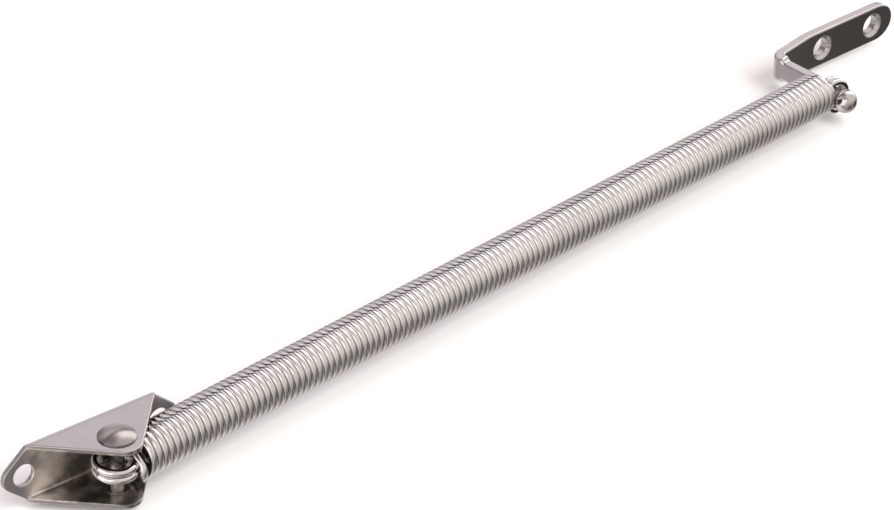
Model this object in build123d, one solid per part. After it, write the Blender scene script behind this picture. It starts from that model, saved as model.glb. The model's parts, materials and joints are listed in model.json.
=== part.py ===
from build123d import *
import math
import os

# Hatch holder: a close-wound steel spring with a screw bracket at each end.
# All lengths are in millimetres. The origin is on the base bracket's back face, midway between
# its two screw holes. +X runs along the bracket towards the far end, +Y into the wall, +Z up.

# Base bracket, bent from one sheet
sheet = 1.1
coil_room = 12.4
base_height = coil_room + 2 * sheet
flange_half = 16.8
flange_apex = 18.1
flange_corner_r = 3.9
bend_inner_r = 0.6
ear_hole_x = 17.7
ear_tip_x = 19.7
ear_tip_r = 3.2
ear_drop = 0.7
base_hole_r = 2.6
base_edge_r = 0.25

# Rivet, the pin on which the spring swivels
pin_out = 10.0
pin_r = 1.6
pin_hole_r = 1.65
head_r = 4.2
head_rise = 1.9
head_rim = 0.35
collar_r = 2.35
collar_rise = 0.2
tail_r = 3.0
tail_rise = 1.1

# Spring, in its own frame: the coil runs along X, and the pin's axis is Z
wire = 1.8
wire_r = wire / 2
coil_outer = 11.4
coil_r = (coil_outer - wire) / 2
rest_turn = 6.2
coil_start = 4.7
coil_end = 242.6
lengths = 8
turns_each = 12
first_turn = 0.25
last_turn = lengths * turns_each - 0.5
pitch = (coil_end - coil_start) / (last_turn - first_turn)
cut_gap = 0.2

# End rings of the spring, two turns each
ring_turns = 2
ring_pitch = 2.5
near_ring_r = 4.2
near_ring_back = 0.7
near_ring_lift = 0.35
far_ring_r = 3.75
far_ring_x = 249.5
far_ring_drop = 3.0

# Where the wire points straight down between the coil and each ring
near_bend_place = (4.3, -5.3, -0.2)
far_bend_place = (244.0, -3.0, 1.4)

# End bracket, a bar bent square, in its own frame: the leg runs along Y through the far ring
bar = 2.8
outer_edge_r = 0.8
inner_edge_r = 0.5
plate_half = 5.2
plate_front = 19.0
plate_back = plate_front + bar
plate_end = 42.6
plate_round = 6.0
plate_bend_r = 0.6
taper_start = 11.0
taper_half = 3.2
taper_round = 20.0
neck_start = 18.9
neck_end = 16.8
neck_round = 1.2
shoulder_r = 1.0
leg_half = 2.65
tip_start = 5.4
tip_end = 3.7
tip_half = 2.0
end_hole_r = 2.5
end_sink_r = 3.35
end_hole_places = (15.9, 34.8)
end_swing = 2.4

# Ball on the end of the leg
ball_r = 3.1
ball_out = 4.3
seat_in = 2.2
spigot_r = 1.2
spigot_long = 3.2

# A point this close to a face counts as on it
near = 0.05

spring_frame = Pos(0, -pin_out, 0) * Rot(0, 0, rest_turn)
far_ring_frame = Pos(far_ring_x, 0, -far_ring_drop) * Rot(0, 0, -rest_turn)
end_frame = spring_frame * far_ring_frame * Rot(0, -end_swing, 0)


def make_base_bracket():
    """One bent sheet: a web, an ear at each end of it, and two pointed flanges."""
    half = base_height / 2
    outer = RectangleRounded(2 * flange_apex, base_height, sheet + bend_inner_r)
    inner = RectangleRounded(2 * (flange_apex - sheet), base_height - 2 * sheet, bend_inner_r)
    section = Plane.YZ.offset(-flange_half) * Pos(-flange_apex, 0) * (outer - inner)
    channel = extrude(section, 2 * flange_half)

    corners = [
        (-flange_half, 0),
        (-flange_half, -sheet),
        (0, -flange_apex),
        (flange_half, -sheet),
        (flange_half, 0),
    ]
    outline = make_face(Polyline(*corners, close=True))
    outline = fillet(outline.vertices().sort_by(Axis.Y)[0], flange_corner_r)
    channel = channel & extrude(Pos(0, 0, -half) * outline, base_height)

    ear_half = half - ear_drop
    hull_edges = []
    for side in (-1, 1):
        hull_edges += (Pos(side * ear_tip_x, 0) * Circle(ear_tip_r)).edges()
        hull_edges.append(Line((side * flange_half, -ear_half), (side * flange_half, ear_half)).edge())
    web = extrude(Plane.XZ * make_hull(hull_edges), sheet)

    bracket = channel + web
    for side in (-1, 1):
        bracket -= Plane.XZ * Pos(side * ear_hole_x, 0) * Cylinder(base_hole_r, 4 * sheet)
    rims = [edge for edge in bracket.edges() if is_outer_rim(edge.center())]
    bracket = fillet(rims, base_edge_r)
    bracket -= Pos(0, -pin_out, 0) * Cylinder(pin_hole_r, 2 * base_height)
    return bracket


def is_outer_rim(place):
    """Whether an edge with its middle here is a rim of a flange's outside or of an ear's front."""
    flange_rim = abs(place.Z) > base_height / 2 - near and place.Y < -2 * sheet
    ear_rim = abs(place.Y + sheet) < near and abs(place.X) > flange_half + near
    return flange_rim or ear_rim


def cap_radius(rim_r, rise):
    """Radius of the ball whose cap has this rim radius and rise."""
    return (rim_r ** 2 + rise ** 2) / (2 * rise)


def make_rivet():
    """A pin with a domed head, a low collar on the lower flange and a closed tail under it."""
    half = base_height / 2
    floor = sheet - half
    dome = RadiusArc(
        (head_r, half + head_rim),
        (0, half + head_rise),
        -cap_radius(head_r, head_rise - head_rim),
    )
    side = Polyline(
        (head_r, half + head_rim),
        (head_r, half),
        (pin_r, half),
        (pin_r, floor + collar_rise),
        (collar_r, floor + collar_rise),
        (collar_r, floor),
        (pin_r, floor),
        (pin_r, -half),
        (tail_r, -half),
    )
    tail = RadiusArc((0, -half - tail_rise), (tail_r, -half), -cap_radius(tail_r, tail_rise))
    axis_line = Line((0, -half - tail_rise), (0, half + head_rise))
    profile = Plane.XZ * make_face([dome, side, tail, axis_line])
    return Pos(0, -pin_out, 0) * revolve(profile, Axis.Z)


def coil_station(turn):
    """Point and direction of the wire after so many turns of the coil. Turn 0 is at its front."""
    angle = math.tau * turn
    x = coil_start + pitch * (turn - first_turn)
    point = Vector(x, -coil_r * math.cos(angle), -coil_r * math.sin(angle))
    along = Vector(pitch / math.tau, coil_r * math.sin(angle), -coil_r * math.cos(angle))
    return point, along.normalized()


def near_ring_station(turn):
    """Point and direction of the wire on the ring round the rivet."""
    angle = math.tau * turn
    point = Vector(
        near_ring_r * math.cos(angle) - near_ring_back,
        -near_ring_r * math.sin(angle),
        ring_pitch * (turn - ring_turns / 2) + near_ring_lift,
    )
    along = Vector(
        -near_ring_r * math.sin(angle),
        -near_ring_r * math.cos(angle),
        ring_pitch / math.tau,
    )
    return point, along.normalized()


def far_ring_station(turn):
    """Point and direction of the wire on the ring round the end bracket's leg."""
    angle = math.tau * turn
    point = Vector(
        -far_ring_r * math.cos(angle),
        ring_pitch * (turn - ring_turns / 2),
        -far_ring_r * math.sin(angle),
    )
    along = Vector(
        far_ring_r * math.sin(angle),
        ring_pitch / math.tau,
        -far_ring_r * math.cos(angle),
    )
    placed = (far_ring_frame * Pos(point.X, point.Y, point.Z)).position
    turned = along.normalized().rotate(Axis.Z, -rest_turn)
    return placed, turned


def bend_station(place):
    """Point of the wire between the coil and an end ring, where it points straight down."""
    return Vector(place), Vector(0, 0, -1)


def ring_stations(station):
    """Stations of a whole end ring, one each half turn."""
    return [station(step / 2) for step in range(2 * ring_turns + 1)]


def coil_stations(start, end):
    """Stations of the coil at both ends and at each half turn between them."""
    steps = range(math.floor(2 * start) + 1, math.ceil(2 * end))
    turns = [start] + [step / 2 for step in steps] + [end]
    return [coil_station(turn) for turn in turns]


def biarc(start, end):
    """Two tangent arcs from one station to the next."""
    (p0, t0), (p1, t1) = start, end
    chord = p1 - p0
    total = t0 + t1
    spread = 2 * (1 - t0.dot(t1))
    reach = (math.sqrt(chord.dot(total) ** 2 + spread * chord.dot(chord)) - chord.dot(total)) / spread
    middle = (p0 + p1 + (t0 - t1) * reach) * 0.5
    first = Edge.make_tangent_arc(p0, t0, middle)
    second = Edge.make_tangent_arc(middle, first.tangent_at(1), p1)
    return [first, second]


def wire_path(index):
    """Arcs of one twelve-turn length of the spring, with the end ring where it has one."""
    half_cut = cut_gap / 2 / (math.tau * coil_r)
    start = index * turns_each + half_cut
    end = (index + 1) * turns_each - half_cut
    if index == 0:
        stations = ring_stations(near_ring_station)
        stations.append(bend_station(near_bend_place))
        stations += coil_stations(first_turn, end)
    elif index == lengths - 1:
        stations = coil_stations(start, last_turn)
        stations.append(bend_station(far_bend_place))
        stations += ring_stations(far_ring_station)
    else:
        stations = coil_stations(start, end)
    arcs = []
    for start_station, end_station in zip(stations, stations[1:]):
        arcs += biarc(start_station, end_station)
    return arcs


def make_spring_length(arcs):
    """One unbroken tube of round wire along its arcs."""
    start = Plane(origin=arcs[0] @ 0, z_dir=arcs[0] % 0)
    return spring_frame * sweep(start * Circle(wire_r), path=Wire(arcs))


def least_gap(paths):
    """Least gap between stretches of wire that pass each other, measured on points along it."""
    step = 0.6
    nearest = 6.0
    furthest = 110.0
    points = []
    for arcs in paths:
        for arc in arcs:
            count = math.ceil(arc.length / step)
            points += [arc @ (place / count) for place in range(count)]
    rows = [(point.X, point.Y, point.Z) for point in points]
    low = math.ceil(nearest / step)
    high = math.ceil(furthest / step)
    least = math.inf
    for here, first in enumerate(rows):
        for second in rows[here + low:here + high]:
            least = min(least, math.dist(first, second))
    return least - wire


def make_end_bracket():
    """A flat plate with two countersunk holes, narrowed and bent square into a leg with a spigot."""
    tip = seat_in - ball_out
    corners = [
        (-bar / 2, tip),
        (-bar / 2, plate_back),
        (plate_end, plate_back),
        (plate_end, plate_front),
        (bar / 2, plate_front),
        (bar / 2, tip),
    ]
    side = make_face(Polyline(*corners, close=True))
    outer_corner = side.vertices().sort_by_distance((-bar / 2, plate_back))[0]
    side = fillet(outer_corner, plate_bend_r + bar)
    inner_corner = side.vertices().sort_by_distance((bar / 2, plate_front))[0]
    side = fillet(inner_corner, plate_bend_r)
    bracket = extrude(Pos(0, 0, -plate_half) * side, 2 * plate_half)

    straight = plate_end - plate_round
    slope = (plate_half - taper_half) / (taper_start + bar / 2)
    narrow = taper_half - slope * bar
    face_corners = [
        (-1.5 * bar, narrow),
        (taper_start, plate_half),
        (straight, plate_half),
        (straight, -plate_half),
        (taper_start, -plate_half),
        (-1.5 * bar, -narrow),
    ]
    face = make_face(Polyline(*face_corners, close=True))
    shoulders = face.vertices().filter_by(lambda corner: abs(corner.X - taper_start) < near)
    face = fillet(shoulders, taper_round)
    face += Pos(straight, 0) * Ellipse(plate_round, plate_half)
    bracket = bracket & extrude(Plane.XZ * face, plate_back + ball_out, both=True)

    neck_corners = [
        (tip, tip_half),
        (tip_end, tip_half),
        (tip_start, leg_half),
        (neck_end, leg_half),
        (neck_start, plate_half),
        (plate_back + bar, plate_half),
        (plate_back + bar, -plate_half),
        (neck_start, -plate_half),
        (neck_end, -leg_half),
        (tip_start, -leg_half),
        (tip_end, -tip_half),
        (tip, -tip_half),
    ]
    neck = make_face(Polyline(*neck_corners, close=True))
    bends = neck.vertices().filter_by(lambda corner: tip_end - near < corner.X < neck_end + near)
    neck = fillet(bends, neck_round)
    bracket = bracket & extrude(Plane.YZ * neck, plate_end, both=True)

    shoulders = [edge for edge in bracket.edges() if is_shoulder(edge.center())]
    bracket = fillet(shoulders, shoulder_r)
    outer_rims = [edge for edge in bracket.edges() if is_bar_rim(edge, bar)]
    bracket = fillet(outer_rims, outer_edge_r)
    inner_rims = [edge for edge in bracket.edges() if is_bar_rim(edge, 0)]
    bracket = fillet(inner_rims, inner_edge_r)

    for place in end_hole_places:
        hole = Plane.XZ.offset(-plate_front) * Pos(place, 0)
        bracket -= hole * Cylinder(end_hole_r, 3 * bar)
        sink_deep = end_sink_r - end_hole_r
        bracket -= hole * Pos(0, 0, -sink_deep / 2) * Rot(180, 0, 0) * Cone(end_sink_r, end_hole_r, sink_deep)
    spigot = extrude(Plane.XZ.offset(-tip) * Circle(spigot_r), spigot_long)
    return end_frame * (bracket + spigot)


def is_shoulder(place):
    """Whether an edge with its middle here crosses the bar where its taper meets the neck."""
    return abs(place.X) < near and abs(place.Z) > taper_half


def is_bar_rim(edge, wanted):
    """Whether an edge runs along the bar's rim at this depth from its inner face."""
    middle = edge.center()
    past_bend = middle.X - bar / 2 - plate_bend_r
    before_bend = plate_front - plate_bend_r - middle.Y
    if past_bend > 0:
        depth = middle.Y - plate_front
    elif before_bend > 0:
        depth = bar / 2 - middle.X
    else:
        depth = math.hypot(past_bend, before_bend) - plate_bend_r
    return abs(depth - wanted) < near and abs((edge % 0.5).Z) < 1 - near


def make_ball():
    """A ball with a flat seat and a blind bore for the leg's spigot."""
    tip = seat_in - ball_out
    ball = Pos(0, -ball_out, 0) * Sphere(ball_r)
    ball -= Pos(0, tip + ball_r, 0) * Box(2 * ball_r, 2 * ball_r, 2 * ball_r)
    ball -= extrude(Plane.XZ.offset(-tip) * Circle(spigot_r), spigot_long)
    return end_frame * ball


os.makedirs("parts", exist_ok=True)
export_step(make_base_bracket(), "parts/base_bracket.step")
export_step(make_rivet(), "parts/rivet.step")
wire_paths = [wire_path(index) for index in range(lengths)]
for number, arcs in enumerate(wire_paths, start=1):
    export_step(make_spring_length(arcs), f"parts/spring_{number}.step")
export_step(make_end_bracket(), "parts/end_bracket.step")
export_step(make_ball(), "parts/ball_end.step")

turns = last_turn - first_turn + 2 * ring_turns
print(f"turns of wire in all: {turns:.2f}, coil pitch {pitch:.3f} mm")
print(f"least gap of the wire to itself: {least_gap(wire_paths):.3f} mm")
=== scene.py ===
import bpy
import json
import math
import numpy as np
from mathutils import Matrix, Vector


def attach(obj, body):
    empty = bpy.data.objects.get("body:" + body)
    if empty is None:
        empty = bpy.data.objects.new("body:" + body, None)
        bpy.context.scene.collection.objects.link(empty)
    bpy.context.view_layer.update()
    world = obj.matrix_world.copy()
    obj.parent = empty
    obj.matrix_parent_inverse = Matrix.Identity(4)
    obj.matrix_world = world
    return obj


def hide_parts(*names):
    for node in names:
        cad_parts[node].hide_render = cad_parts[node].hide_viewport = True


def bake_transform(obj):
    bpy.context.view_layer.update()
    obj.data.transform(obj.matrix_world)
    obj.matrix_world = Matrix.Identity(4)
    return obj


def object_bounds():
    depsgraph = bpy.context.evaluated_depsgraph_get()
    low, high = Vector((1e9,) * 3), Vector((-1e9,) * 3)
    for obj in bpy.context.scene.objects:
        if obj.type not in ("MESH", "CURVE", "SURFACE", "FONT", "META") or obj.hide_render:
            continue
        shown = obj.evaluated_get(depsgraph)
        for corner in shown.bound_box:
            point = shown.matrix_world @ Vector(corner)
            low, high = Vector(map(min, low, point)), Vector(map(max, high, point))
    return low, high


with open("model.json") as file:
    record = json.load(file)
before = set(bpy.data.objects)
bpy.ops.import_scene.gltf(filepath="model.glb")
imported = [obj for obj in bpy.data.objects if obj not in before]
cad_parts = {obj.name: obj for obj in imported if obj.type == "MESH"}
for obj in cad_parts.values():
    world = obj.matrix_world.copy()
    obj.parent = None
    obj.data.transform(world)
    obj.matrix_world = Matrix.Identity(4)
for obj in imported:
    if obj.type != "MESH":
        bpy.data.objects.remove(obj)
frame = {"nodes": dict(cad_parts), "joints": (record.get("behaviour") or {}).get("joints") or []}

cad_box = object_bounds()
scene = bpy.context.scene
MM = 0.001

# The spring in millimetres, in its own frame: the coil runs along X, the rivet's axis is Z
wire_r = 0.895
coil_r = 4.8
coil_start = 4.7
coil_end = 242.6
first_turn = 0.25
last_turn = 132.5
pitch = (coil_end - coil_start) / (last_turn - first_turn)
ring_turns = 2
ring_pitch = 1.82
near_ring_r = 4.2
near_ring_back = 0.7
near_ring_lift = 0.35
far_ring_r = 3.75
far_ring_x = 249.5
far_ring_drop = 3.0
near_bend = (3.2, -4.8, -1.3)
far_bend = (244.2, -3.2, 0.6)
steps_per_turn = 36
link_steps = 12
wire_sides = 16
sharp_angle = math.radians(60)

# Where the spring lies in the part
rest_turn = math.radians(6.2)
pin_out = 10.0

# The photograph's camera: its picture in pixels, its sensor in millimetres and how far it sees in metres
image_width = 894
focal_px = 3604.0
sensor_width = 36.0
far_clip = 50.0
camera_azimuth = math.radians(-42.46)
camera_elevation = math.radians(30.549)
camera_roll = math.radians(2.461)
camera_place = Vector((-376.372, -521.571, 427.666)) * MM

# The floor, in metres
floor_half = 6.0
floor_gap = 0.0005
floor_colour = (0.90, 0.90, 0.90, 1)

# The sun lights the floor and not the metal
sun_direction = (0.35, -0.80, 0.75)
sun_strength = 2.4
sun_spread = math.radians(50)

# The studio's greys on the right and on the left, by degrees: behind the part at -180, under it at -90,
# in front at 0, over it at 90 and behind it again at 180
right_bands = [
    (-180, 0.84), (-162, 0.82), (-146, 0.68), (-118, 0.70), (-100, 0.68), (-85, 0.60),
    (-66, 0.32), (-48, 0.14), (-30, 0.12), (-12, 0.34), (2, 0.54), (20, 0.80),
    (70, 0.84), (142, 0.94), (152, 0.50), (163, 0.82), (180, 0.84),
]
left_bands = [
    (-180, 0.60), (-142, 0.44), (-120, 0.90), (-98, 1.10), (-76, 0.62), (-60, 0.46),
    (-47, 0.40), (-32, 0.52), (-12, 0.54), (4, 0.70), (20, 0.80), (45, 0.54),
    (70, 0.40), (110, 0.40), (132, 0.38), (142, 0.20), (155, 0.40), (180, 0.60),
]
# Across the studio, from its left to its right: the light overhead and the dark strip behind it
overhead_bands = [
    (-1.0, 1.60), (-0.84, 1.50), (-0.68, 0.70), (-0.42, 0.34), (-0.12, 0.28), (0.08, 0.55),
    (0.26, 1.35), (0.42, 2.10), (0.92, 2.10), (1.0, 1.60),
]
strip_bands = [(-1.0, 0.0), (-0.30, 0.0), (-0.05, 0.10), (0.30, 0.10), (0.60, 0.03), (1.0, 0.0)]
# The studio's areas, each from where it starts to where it is full, along one axis of a unit direction
right_from_x = (-0.55, 0.05)
overhead_from_z = (-0.02, 0.12)
overhead_from_y = (-0.14, 0.05)
strip_from_y = (0.42, 0.445)
strip_back_y = (0.575, 0.545)
side_light_x = (-0.66, -0.82)
side_light_z = (-0.40, -0.20)
side_light_y = (0.50, 0.35)
side_light_grey = 1.35
behind_from_y = (0.88, 0.97)
behind_grey = 0.30
# Round areas: direction, grey, the angle up to which it is full and the angle at which it ends, in radians
round_areas = [
    ((0.80, -0.48, -0.36), 0.075, 0.22, 0.40),
    ((0.49, -0.67, -0.555), 0.35, 0.10, 0.23),
    ((-0.64, -0.60, 0.48), 1.5, 0.15, 0.28),
]
# The light is warmer in front than behind
tint_from_y = (-0.30, 0.15)
front_tint = (1.06, 0.98, 0.92, 1)
back_tint = (1.05, 0.965, 0.98, 1)

# All steel finishes. Lengths are in millimetres, and noises in waves a millimetre along X, Y and Z
cloud_waves = (0.12, 0.12, 0.12)
cloud_range = (0.3, 0.7)
hair_waves = (0.35, 9.0, 6.0)
hair_range = (0.66, 0.74)
hair_dullness = 0.12
hair_depth = -0.6
# Painted shade: the steel's colour darkens towards corners, recesses and nearby parts, found by ambient
# occlusion
corner_shade_reach = 1.1
corner_shade_range = (0.75, 0.35)
corner_shade_most = 0.85
corner_shade_colour = (0.05, 0.043, 0.04, 1)
# Worn edges: a lighter, smoother colour on edges, partly a painted highlight
edge_wear_and_highlight_range = (0.02, 0.2)
edge_wear_and_highlight_gain = 1.22
edge_wear_and_highlight_most = 0.8
worn_polish = -0.06
bump_strength = 0.25
edge_samples = 4
smooth_samples = 6

# The base bracket's scuffed ears and stained channel, in millimetres from its middle and from its back
ear_from = (15.5, 16.5)
ear_scuff = 0.26
channel_height = (6.9, 6.3)
channel_depth = (0.5, 0.9)
channel_length = (18.5, 15.0)
stain_waves = (0.17, 0.25, 0.17)
stain_from_x = (-13.5, -8.0)
stain_shift = (-0.10, 0.08)
stain_range = (0.38, 0.66)
stain_most = 0.9
stain_dullness = 0.16
clean_channel = (1.0, 0.945, 0.885, 1)
stained_channel = (0.32, 0.297, 0.275, 1)

# The wire's finish: lines and pits in waves a millimetre along it and waves round it, clouds by X, Y and Z
line_waves = (0.08, 26.0, 1.0)
pit_waves = (1.6, 5.0, 1.0)
pit_range = (0.35, 0.75)
pit_share = 0.5
wire_cloud_waves = (0.06, 0.15, 0.15)
wire_colour = (0.80, 0.785, 0.79, 1)
dull_wire_colour = (0.72, 0.705, 0.71, 1)
wire_roughness = (0.05, 0.12)
wire_bump_height = 0.02
# Painted shade: a dark, duller line painted where the turns touch
seam_shade_range = (0.89, 0.98)
seam_shade_colour = (0.04, 0.033, 0.033, 1)
seam_dullness = 0.3

spring_to_part = Matrix.Translation((0, -pin_out, 0)) @ Matrix.Rotation(rest_turn, 4, "Z")


def coil_station(turn):
    """The wire's middle after so many turns of the coil, its direction, and the way out of the coil."""
    angle = math.tau * turn
    out = Vector((0, -math.cos(angle), -math.sin(angle)))
    point = coil_r * out + Vector((coil_start + pitch * (turn - first_turn), 0, 0))
    along = Vector((pitch / math.tau, coil_r * math.sin(angle), -coil_r * math.cos(angle)))
    return point, along.normalized(), out


def near_ring_station(turn):
    """The same for the ring round the rivet."""
    angle = math.tau * turn
    out = Vector((math.cos(angle), -math.sin(angle), 0))
    lift = ring_pitch * (turn - ring_turns / 2) + near_ring_lift
    point = near_ring_r * out + Vector((-near_ring_back, 0, lift))
    along = Vector((-near_ring_r * math.sin(angle), -near_ring_r * math.cos(angle), ring_pitch / math.tau))
    return point, along.normalized(), out


def far_ring_station(turn):
    """The same for the ring round the end bracket's leg."""
    angle = math.tau * turn
    turned = Matrix.Rotation(-rest_turn, 3, "Z")
    out = Vector((-math.cos(angle), 0, -math.sin(angle)))
    point = far_ring_r * out + Vector((0, ring_pitch * (turn - ring_turns / 2), 0))
    along = Vector((far_ring_r * math.sin(angle), ring_pitch / math.tau, -far_ring_r * math.cos(angle)))
    place = turned @ point + Vector((far_ring_x, 0, -far_ring_drop))
    return place, (turned @ along).normalized(), turned @ out


def winding(station, start, end):
    """Touching turns of the wire, from one turn to another at even steps."""
    count = max(1, round((end - start) * steps_per_turn))
    rows = []
    for step in range(count + 1):
        point, along, out = station(start + (end - start) * step / count)
        rows.append((point, along, out, 1.0))
    return rows


def link(start, bend, end):
    """Free wire from one station to another, by way of a place where it points straight down."""
    bend_point = Vector(bend)
    bend_out = (start[2] + end[2] + Vector((0, -1, 0))) / 3
    middle = (bend_point, Vector((0, 0, -1)), bend_out)
    rows = []
    for (p0, t0, o0), (p1, t1, o1) in ((start, middle), (middle, end)):
        reach = (p1 - p0).length
        for step in range(link_steps):
            s = step / link_steps
            here = (2 * s**3 - 3 * s**2 + 1) * p0 + (3 * s**2 - 2 * s**3) * p1
            here += (s**3 - 2 * s**2 + s) * reach * t0 + (s**3 - s**2) * reach * t1
            along = (6 * s**2 - 6 * s) * (p0 - p1)
            along += (3 * s**2 - 4 * s + 1) * reach * t0 + (3 * s**2 - 2 * s) * reach * t1
            rows.append((here, along.normalized(), o0.lerp(o1, s), 0.0))
    return rows[1:]


def tube(name, rows):
    """A closed tube of round wire.

    Each row is a point, the wire's direction there, the way out, and 1 where turns touch or else 0.
    """
    points = np.array([row[0] for row in rows])
    tangents = np.array([row[1] for row in rows])
    outs = np.array([row[2] for row in rows])
    touching = np.repeat([row[3] for row in rows], wire_sides)
    count = len(points)
    outs -= tangents * np.sum(outs * tangents, axis=1)[:, None]
    outs /= np.linalg.norm(outs, axis=1)[:, None]
    sides = np.cross(tangents, outs)
    travelled = np.concatenate(([0], np.cumsum(np.linalg.norm(points[1:] - points[:-1], axis=1))))
    angles = math.tau * np.arange(wire_sides) / wire_sides
    vertices = points[:, None] + wire_r * (
        np.cos(angles)[None, :, None] * outs[:, None] + np.sin(angles)[None, :, None] * sides[:, None]
    )
    turn = np.array(spring_to_part)
    placed = (vertices.reshape(-1, 3) @ turn[:3, :3].T + turn[:3, 3]) * MM

    faces = []
    marks = []
    for here in range(count - 1):
        for corner in range(wire_sides):
            following = (corner + 1) % wire_sides
            near_row = here * wire_sides
            far_row = near_row + wire_sides
            faces.append((near_row + corner, near_row + following, far_row + following, far_row + corner))
            low, high = corner / wire_sides, (corner + 1) / wire_sides
            start, end = travelled[here], travelled[here + 1]
            marks += [(start, low), (start, high), (end, high), (end, low)]
    last = (count - 1) * wire_sides
    faces.append(tuple(reversed(range(wire_sides))))
    faces.append(tuple(range(last, last + wire_sides)))
    marks += [(0, 0)] * (2 * wire_sides)

    mesh = bpy.data.meshes.new(name)
    mesh.from_pydata(placed.tolist(), [], faces)
    mesh.uv_layers.new(name="wire").data.foreach_set("uv", np.array(marks, np.float32).ravel())
    mesh.attributes.new("touching", "FLOAT", "POINT").data.foreach_set("value", touching.astype(np.float32))
    mesh.polygons.foreach_set("use_smooth", [True] * len(faces))
    mesh.set_sharp_from_angle(angle=sharp_angle)
    piece = bpy.data.objects.new(name, mesh)
    scene.collection.objects.link(piece)
    return piece


def make_spring(material):
    """Every turn of the spring, in pieces that meet halfway between its hinges."""
    hinges = [joint for joint in frame["joints"] if joint["name"].startswith("spring_bend")]
    back = spring_to_part.inverted()
    hinge_xs = [(back @ (Vector(joint["pos_m"]) / MM)).x for joint in hinges]
    spacing = hinge_xs[1] - hinge_xs[0]
    cut_xs = [x - spacing / 2 for x in hinge_xs] + [hinge_xs[-1] + spacing / 2]
    cuts = [first_turn + (x - coil_start) / pitch for x in cut_xs]

    near = winding(near_ring_station, 0, ring_turns)
    near += link(near_ring_station(ring_turns), near_bend, coil_station(first_turn))
    near += winding(coil_station, first_turn, cuts[0])
    near_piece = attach(tube("spring_near_ring", near), "length_1")
    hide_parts("spring_1")
    pieces = [near_piece]

    for joint, hinge_x, start, end in zip(hinges, hinge_xs, cuts, cuts[1:]):
        number = int(joint["name"].split("_")[-1])
        piece = tube(f"spring_turns_{number}", winding(coil_station, start, end))
        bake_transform(piece)
        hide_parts(f"spring_{number}", f"spring_{number + 1}")
        pieces.append(piece)

    far = winding(coil_station, cuts[-1], last_turn)
    far += link(coil_station(last_turn), far_bend, far_ring_station(0))
    far += winding(far_ring_station, 0, ring_turns)
    far_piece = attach(tube("spring_far_ring", far), f"length_{len(hinges) + 1}")
    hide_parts(f"spring_{len(hinges) + 1}")
    pieces.append(far_piece)

    for piece in pieces:
        piece.data.materials.append(material)


class Nodes:
    """A material's or world's node tree, with short ways to add and join nodes."""

    def __init__(self, owner):
        owner.use_nodes = True
        self.tree = owner.node_tree
        self.tree.nodes.clear()

    def add(self, kind, inputs=None, **settings):
        node = self.tree.nodes.new(kind)
        for name, value in settings.items():
            setattr(node, name, value)
        for name, value in (inputs or {}).items():
            self.feed(node.inputs[name], value)
        return node

    def feed(self, socket, value):
        if isinstance(value, bpy.types.NodeSocket):
            self.tree.links.new(value, socket)
        elif isinstance(value, bpy.types.Node):
            self.tree.links.new(value.outputs[0], socket)
        else:
            socket.default_value = value

    def math(self, operation, first, second=0.0, third=0.0):
        node = self.add("ShaderNodeMath", {0: first, 1: second, 2: third}, operation=operation)
        return node.outputs[0]

    def millimetres(self, value):
        return self.math("DIVIDE", value, MM)

    def stretch(self, value, low, high, to_low=0.0, to_high=1.0):
        """A number taken smoothly from one range to another. Past the range it stays at the nearer end."""
        node = self.add(
            "ShaderNodeMapRange",
            {"Value": value, "From Min": low, "From Max": high, "To Min": to_low, "To Max": to_high},
            interpolation_type="SMOOTHSTEP",
        )
        return node.outputs["Result"]

    def mix(self, share, first, second):
        """A colour between two others."""
        node = self.add("ShaderNodeMix", data_type="RGBA")
        colours = [socket for socket in node.inputs if socket.type == "RGBA"]
        self.feed(node.inputs["Factor"], share)
        self.feed(colours[0], first)
        self.feed(colours[1], second)
        return [socket for socket in node.outputs if socket.type == "RGBA"][0]

    def blend(self, share, first, second):
        """A number between two others."""
        node = self.add("ShaderNodeMix", data_type="FLOAT")
        numbers = [socket for socket in node.inputs if socket.type == "VALUE" and socket.name in "AB"]
        self.feed([socket for socket in node.inputs if socket.name == "Factor"][0], share)
        self.feed(numbers[0], first)
        self.feed(numbers[1], second)
        return [socket for socket in node.outputs if socket.type == "VALUE"][0]

    def noise(self, vector, detail, roughness=0.5):
        node = self.add(
            "ShaderNodeTexNoise",
            {"Vector": vector, "Scale": 1.0, "Detail": detail, "Roughness": roughness},
        )
        return node.outputs["Fac"]


def grain_vector(nodes, stretch):
    """Object coordinates in millimetres, each axis multiplied by its own stretch."""
    place = nodes.add("ShaderNodeTexCoord").outputs["Object"]
    scale = tuple(value / MM for value in stretch)
    mapping = nodes.add("ShaderNodeMapping", {"Vector": place, "Scale": scale})
    return mapping.outputs["Vector"]


def edge_mask(nodes, radius):
    """1 on rounded and sharp edges and 0 on flat faces."""
    rounded = nodes.add("ShaderNodeBevel", {"Radius": radius * MM}, samples=edge_samples)
    true_normal = nodes.add("ShaderNodeNewGeometry").outputs["Normal"]
    product = nodes.add("ShaderNodeVectorMath", {0: rounded, 1: true_normal}, operation="DOT_PRODUCT")
    return nodes.stretch(nodes.math("SUBTRACT", 1.0, product.outputs["Value"]), *edge_wear_and_highlight_range)


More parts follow.
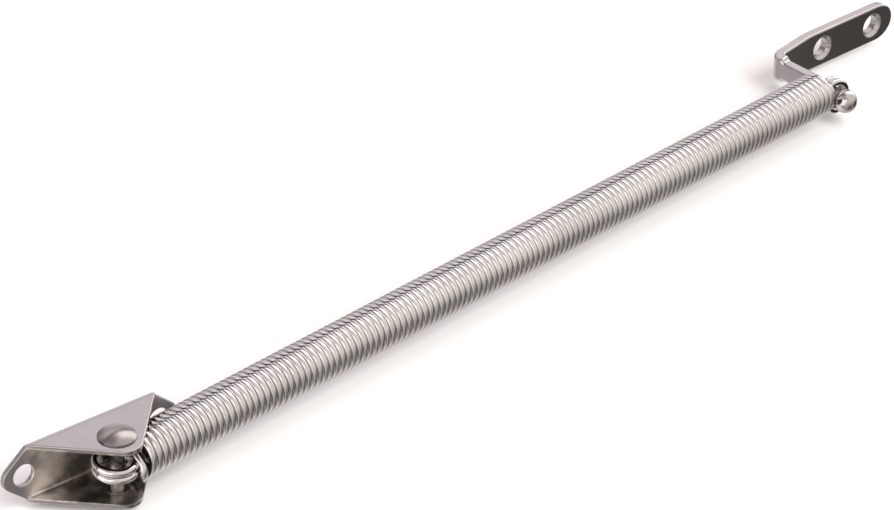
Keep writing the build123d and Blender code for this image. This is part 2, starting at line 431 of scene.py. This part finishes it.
def stain_bracket(nodes, tone, rough):
    """Scuffs the base bracket's ears and stains the inside of its channel, more so away from its left end."""
    place = nodes.add("ShaderNodeTexCoord").outputs["Object"]
    parts = nodes.add("ShaderNodeSeparateXYZ", {"Vector": place}).outputs
    outward = nodes.millimetres(nodes.math("ABSOLUTE", parts["X"]))
    from_middle = nodes.millimetres(nodes.math("ABSOLUTE", parts["Z"]))
    off_back = nodes.millimetres(nodes.math("MULTIPLY", parts["Y"], -1.0))
    scuffed = nodes.stretch(outward, *ear_from)
    rough = nodes.math("MULTIPLY_ADD", scuffed, ear_scuff, rough)

    inside = nodes.math(
        "MULTIPLY", nodes.stretch(from_middle, *channel_height), nodes.stretch(off_back, *channel_depth)
    )
    inside = nodes.math("MULTIPLY", inside, nodes.stretch(outward, *channel_length))
    along = nodes.millimetres(parts["X"])
    patches = nodes.noise(grain_vector(nodes, stain_waves), detail=3.0)
    patches = nodes.math("ADD", patches, nodes.stretch(along, *stain_from_x, *stain_shift))
    stained = nodes.mix(nodes.stretch(patches, *stain_range), clean_channel, stained_channel)
    tone = nodes.mix(nodes.math("MULTIPLY", inside, stain_most), tone, stained)
    rough = nodes.math("MULTIPLY_ADD", inside, stain_dullness, rough)
    return tone, rough


def steel(
    name, colour, dull_colour, roughness, spread, grain, grain_height, round_radius,
    edge_radius=0.0, stained=False,
):
    """Stainless steel with a grain, cloudy patches, hair scratches, painted shade darkening its corners, and
    worn edges that carry a painted highlight.
    """
    material = bpy.data.materials.new(name)
    nodes = Nodes(material)
    grain_noise = nodes.noise(grain_vector(nodes, grain), detail=3.0)
    clouds = nodes.noise(grain_vector(nodes, cloud_waves), detail=5.0, roughness=0.6)
    hairs = nodes.noise(grain_vector(nodes, hair_waves), detail=2.0)
    scratch = nodes.stretch(hairs, *hair_range)

    tone = nodes.mix(nodes.stretch(clouds, *cloud_range), (*colour, 1), (*dull_colour, 1))
    # Painted shade: a darker colour where the occlusion node finds nearby surfaces, in corners and recesses
    corners = nodes.add(
        "ShaderNodeAmbientOcclusion", {"Distance": corner_shade_reach * MM}, samples=smooth_samples
    )
    painted_corner_shade = nodes.stretch(corners.outputs["AO"], *corner_shade_range, 0.0, corner_shade_most)
    tone = nodes.mix(painted_corner_shade, tone, corner_shade_colour)
    rough = nodes.math("MULTIPLY_ADD", clouds, spread, roughness - spread)
    rough = nodes.math("MULTIPLY_ADD", grain_noise, spread, rough)
    rough = nodes.math("MULTIPLY_ADD", scratch, hair_dullness, rough)
    # Worn edges with a painted highlight: edges get a lighter colour and less roughness
    if edge_radius:
        edge_wear_and_highlight = edge_mask(nodes, edge_radius)
        bright = tuple(min(1.0, value * edge_wear_and_highlight_gain) for value in colour)
        tone = nodes.mix(nodes.math("MULTIPLY", edge_wear_and_highlight, edge_wear_and_highlight_most), tone, (*bright, 1))
        rough = nodes.math("MULTIPLY_ADD", edge_wear_and_highlight, worn_polish, rough)
    if stained:
        tone, rough = stain_bracket(nodes, tone, rough)

    height = nodes.math("MULTIPLY_ADD", scratch, hair_depth, grain_noise)
    rounded = nodes.add("ShaderNodeBevel", {"Radius": round_radius * MM}, samples=smooth_samples)
    bump = nodes.add(
        "ShaderNodeBump",
        {"Height": height, "Strength": bump_strength, "Distance": grain_height * MM, "Normal": rounded},
    )
    shader = nodes.add(
        "ShaderNodeBsdfPrincipled",
        {"Base Color": tone, "Metallic": 1.0, "Roughness": rough, "Normal": bump},
    )
    nodes.add("ShaderNodeOutputMaterial", {"Surface": shader})
    return material


def wire_steel(name):
    """Bright drawn wire: fine lines along it, soft cloudy patches, and painted shade, dark and duller, where
    turns touch.
    """
    material = bpy.data.materials.new(name)
    nodes = Nodes(material)
    place = nodes.add("ShaderNodeUVMap", uv_map="wire").outputs["UV"]
    lines_place = nodes.add("ShaderNodeMapping", {"Vector": place, "Scale": line_waves})
    lines = nodes.noise(lines_place.outputs["Vector"], detail=3.0)
    pits_place = nodes.add("ShaderNodeMapping", {"Vector": place, "Scale": pit_waves})
    pits = nodes.noise(pits_place.outputs["Vector"], detail=4.0, roughness=0.65)
    clouds = nodes.noise(grain_vector(nodes, wire_cloud_waves), detail=4.0)

    # Painted shade: the colour darkens to a dark line on the sides where turns touch
    around = nodes.add("ShaderNodeSeparateXYZ", {"Vector": place}).outputs["Y"]
    sideways = nodes.math("ABSOLUTE", nodes.math("SINE", nodes.math("MULTIPLY", around, math.tau)))
    touching = nodes.add("ShaderNodeAttribute", attribute_name="touching").outputs["Fac"]
    painted_seam_shade = nodes.math("MULTIPLY", nodes.stretch(sideways, *seam_shade_range), touching)

    tone = nodes.mix(nodes.stretch(clouds, *cloud_range), wire_colour, dull_wire_colour)
    tone = nodes.mix(painted_seam_shade, tone, seam_shade_colour)
    rough = nodes.math("MULTIPLY_ADD", painted_seam_shade, seam_dullness, nodes.stretch(pits, *pit_range, *wire_roughness))
    height = nodes.math("MULTIPLY_ADD", pits, pit_share, lines)
    bump = nodes.add(
        "ShaderNodeBump", {"Height": height, "Strength": bump_strength, "Distance": wire_bump_height * MM}
    )
    shader = nodes.add(
        "ShaderNodeBsdfPrincipled",
        {"Base Color": tone, "Metallic": 1.0, "Roughness": rough, "Normal": bump},
    )
    nodes.add("ShaderNodeOutputMaterial", {"Surface": shader})
    return material


def dress(node, material):
    """Gives a CAD node its finish."""
    piece = frame["nodes"][node]
    for place in piece.material_slots:
        place.material = material


def make_floor():
    """A plain pale floor just under the part. Polished metal reflects the studio and not the floor."""
    low = cad_box[0][2] - floor_gap
    corners = [(-1, -1), (1, -1), (1, 1), (-1, 1)]
    mesh = bpy.data.meshes.new("floor")
    mesh.from_pydata([(x * floor_half, y * floor_half, low) for x, y in corners], [], [(0, 1, 2, 3)])
    floor = bpy.data.objects.new("floor", mesh)
    scene.collection.objects.link(floor)
    material = bpy.data.materials.new("pale_floor")
    nodes = Nodes(material)
    shader = nodes.add("ShaderNodeBsdfDiffuse", {"Color": floor_colour})
    nodes.add("ShaderNodeOutputMaterial", {"Surface": shader})
    mesh.materials.append(material)
    floor.visible_glossy = False


def toward(nodes, direction, x, y, z):
    """How nearly a direction points to (x, y, z), as the cosine of the angle between them."""
    aim = Vector((x, y, z)).normalized()
    node = nodes.add("ShaderNodeVectorMath", {0: direction, 1: tuple(aim)}, operation="DOT_PRODUCT")
    return node.outputs["Value"]


def grey_ramp(nodes, value, bands):
    """A grey that changes with a value, by pairs of value and grey. The ramp holds half of each grey."""
    low, high = bands[0][0], bands[-1][0]
    share = nodes.math("DIVIDE", nodes.math("SUBTRACT", value, low), high - low)
    node = nodes.add("ShaderNodeValToRGB", {"Fac": share})
    steps = node.color_ramp.elements
    for where, _ in bands[1:-1]:
        steps.new((where - low) / (high - low))
    for step, (where, grey) in zip(steps, bands):
        step.color = (grey / 2, grey / 2, grey / 2, 1)
    return nodes.math("MULTIPLY", node.outputs["Color"], 2.0)


def make_world():
    """A studio with light overhead to both sides, a dark strip behind the part and darkness low in front."""
    world = bpy.data.worlds.new("studio")
    scene.world = world
    nodes = Nodes(world)
    direction = nodes.add("ShaderNodeTexCoord").outputs["Generated"]
    parts = nodes.add("ShaderNodeSeparateXYZ", {"Vector": direction})
    x, y, z = parts.outputs["X"], parts.outputs["Y"], parts.outputs["Z"]
    turn = nodes.math("ARCTAN2", z, nodes.math("MULTIPLY", y, -1.0))
    over = nodes.math("MULTIPLY", turn, 360 / math.tau)
    left = grey_ramp(nodes, over, left_bands)
    right = grey_ramp(nodes, over, right_bands)
    grey = nodes.blend(nodes.stretch(x, *right_from_x), left, right)

    above = nodes.stretch(z, *overhead_from_z)
    strip_start, strip_full = strip_from_y
    middle = nodes.math(
        "MULTIPLY", nodes.stretch(y, *overhead_from_y), nodes.stretch(y, strip_full, strip_start)
    )
    grey = nodes.blend(nodes.math("MULTIPLY", middle, above), grey, grey_ramp(nodes, x, overhead_bands))
    strip = nodes.math("MULTIPLY", nodes.stretch(y, *strip_from_y), nodes.stretch(y, *strip_back_y))
    grey = nodes.blend(nodes.math("MULTIPLY", strip, above), grey, grey_ramp(nodes, x, strip_bands))
    for aim, area_grey, full_radius, radius in round_areas:
        nearness = toward(nodes, direction, *aim)
        area = nodes.stretch(nearness, math.cos(radius), math.cos(full_radius))
        grey = nodes.blend(area, grey, area_grey)
    side = nodes.math("MULTIPLY", nodes.stretch(x, *side_light_x), nodes.stretch(z, *side_light_z))
    side = nodes.math("MULTIPLY", side, nodes.stretch(y, *side_light_y))
    grey = nodes.blend(side, grey, side_light_grey)
    grey = nodes.blend(nodes.stretch(y, *behind_from_y), grey, behind_grey)

    tint = nodes.mix(nodes.stretch(y, *tint_from_y), front_tint, back_tint)
    background = nodes.add("ShaderNodeBackground", {"Color": tint, "Strength": grey})
    nodes.add("ShaderNodeOutputWorld", {"Surface": background})


def make_sun():
    """A very soft lamp from far away. It lights the floor, and polished metal doesn't show it."""
    lamp = bpy.data.lights.new("key", "SUN")
    lamp.energy = sun_strength
    lamp.angle = sun_spread
    place = bpy.data.objects.new("key", lamp)
    place.rotation_euler = Vector(sun_direction).to_track_quat("Z", "Y").to_euler()
    place.visible_glossy = False
    scene.collection.objects.link(place)


def make_camera():
    """The photograph's camera."""
    back = Vector((
        math.sin(camera_azimuth) * math.cos(camera_elevation),
        -math.cos(camera_azimuth) * math.cos(camera_elevation),
        math.sin(camera_elevation),
    ))
    right = Vector((0, 0, 1)).cross(back).normalized()
    up = back.cross(right)
    turned_right = right * math.cos(camera_roll) + up * math.sin(camera_roll)
    turned_up = up * math.cos(camera_roll) - right * math.sin(camera_roll)
    lens = bpy.data.cameras.new("camera")
    lens.sensor_fit = "HORIZONTAL"
    lens.sensor_width = sensor_width
    lens.lens = focal_px / image_width * sensor_width
    lens.clip_end = far_clip
    camera = bpy.data.objects.new("camera", lens)
    turn = Matrix((turned_right, turned_up, back)).transposed()
    camera.matrix_world = Matrix.Translation(camera_place) @ turn.to_4x4()
    scene.collection.objects.link(camera)
    bpy.context.scene.camera = camera


scene.view_settings.view_transform = "Standard"
make_camera()
make_world()
make_floor()
make_sun()

make_spring(wire_steel("bright_wire"))
bracket_finish = steel(
    "satin_bracket", (0.56, 0.545, 0.555), (0.53, 0.515, 0.525), roughness=0.17, spread=0.03,
    grain=(0.3, 5.0, 5.0), grain_height=0.003, round_radius=0.22, edge_radius=0.25, stained=True,
)
rivet_finish = steel(
    "rivet_steel", (0.46, 0.435, 0.425), (0.38, 0.36, 0.35), roughness=0.27, spread=0.04,
    grain=(1.5, 1.5, 1.5), grain_height=0.02, round_radius=0.08,
)
plate_finish = steel(
    "polished_plate", (0.66, 0.64, 0.645), (0.60, 0.58, 0.585), roughness=0.09, spread=0.03,
    grain=(0.5, 6.0, 6.0), grain_height=0.006, round_radius=0.5, edge_radius=0.45,
)
ball_finish = steel(
    "polished_ball", (0.70, 0.685, 0.68), (0.60, 0.585, 0.58), roughness=0.09, spread=0.03,
    grain=(1.2, 1.2, 1.2), grain_height=0.03, round_radius=0.1,
)
dress("base_bracket", bracket_finish)
dress("rivet", rivet_finish)
dress("end_bracket", plate_finish)
dress("ball_end", ball_finish)
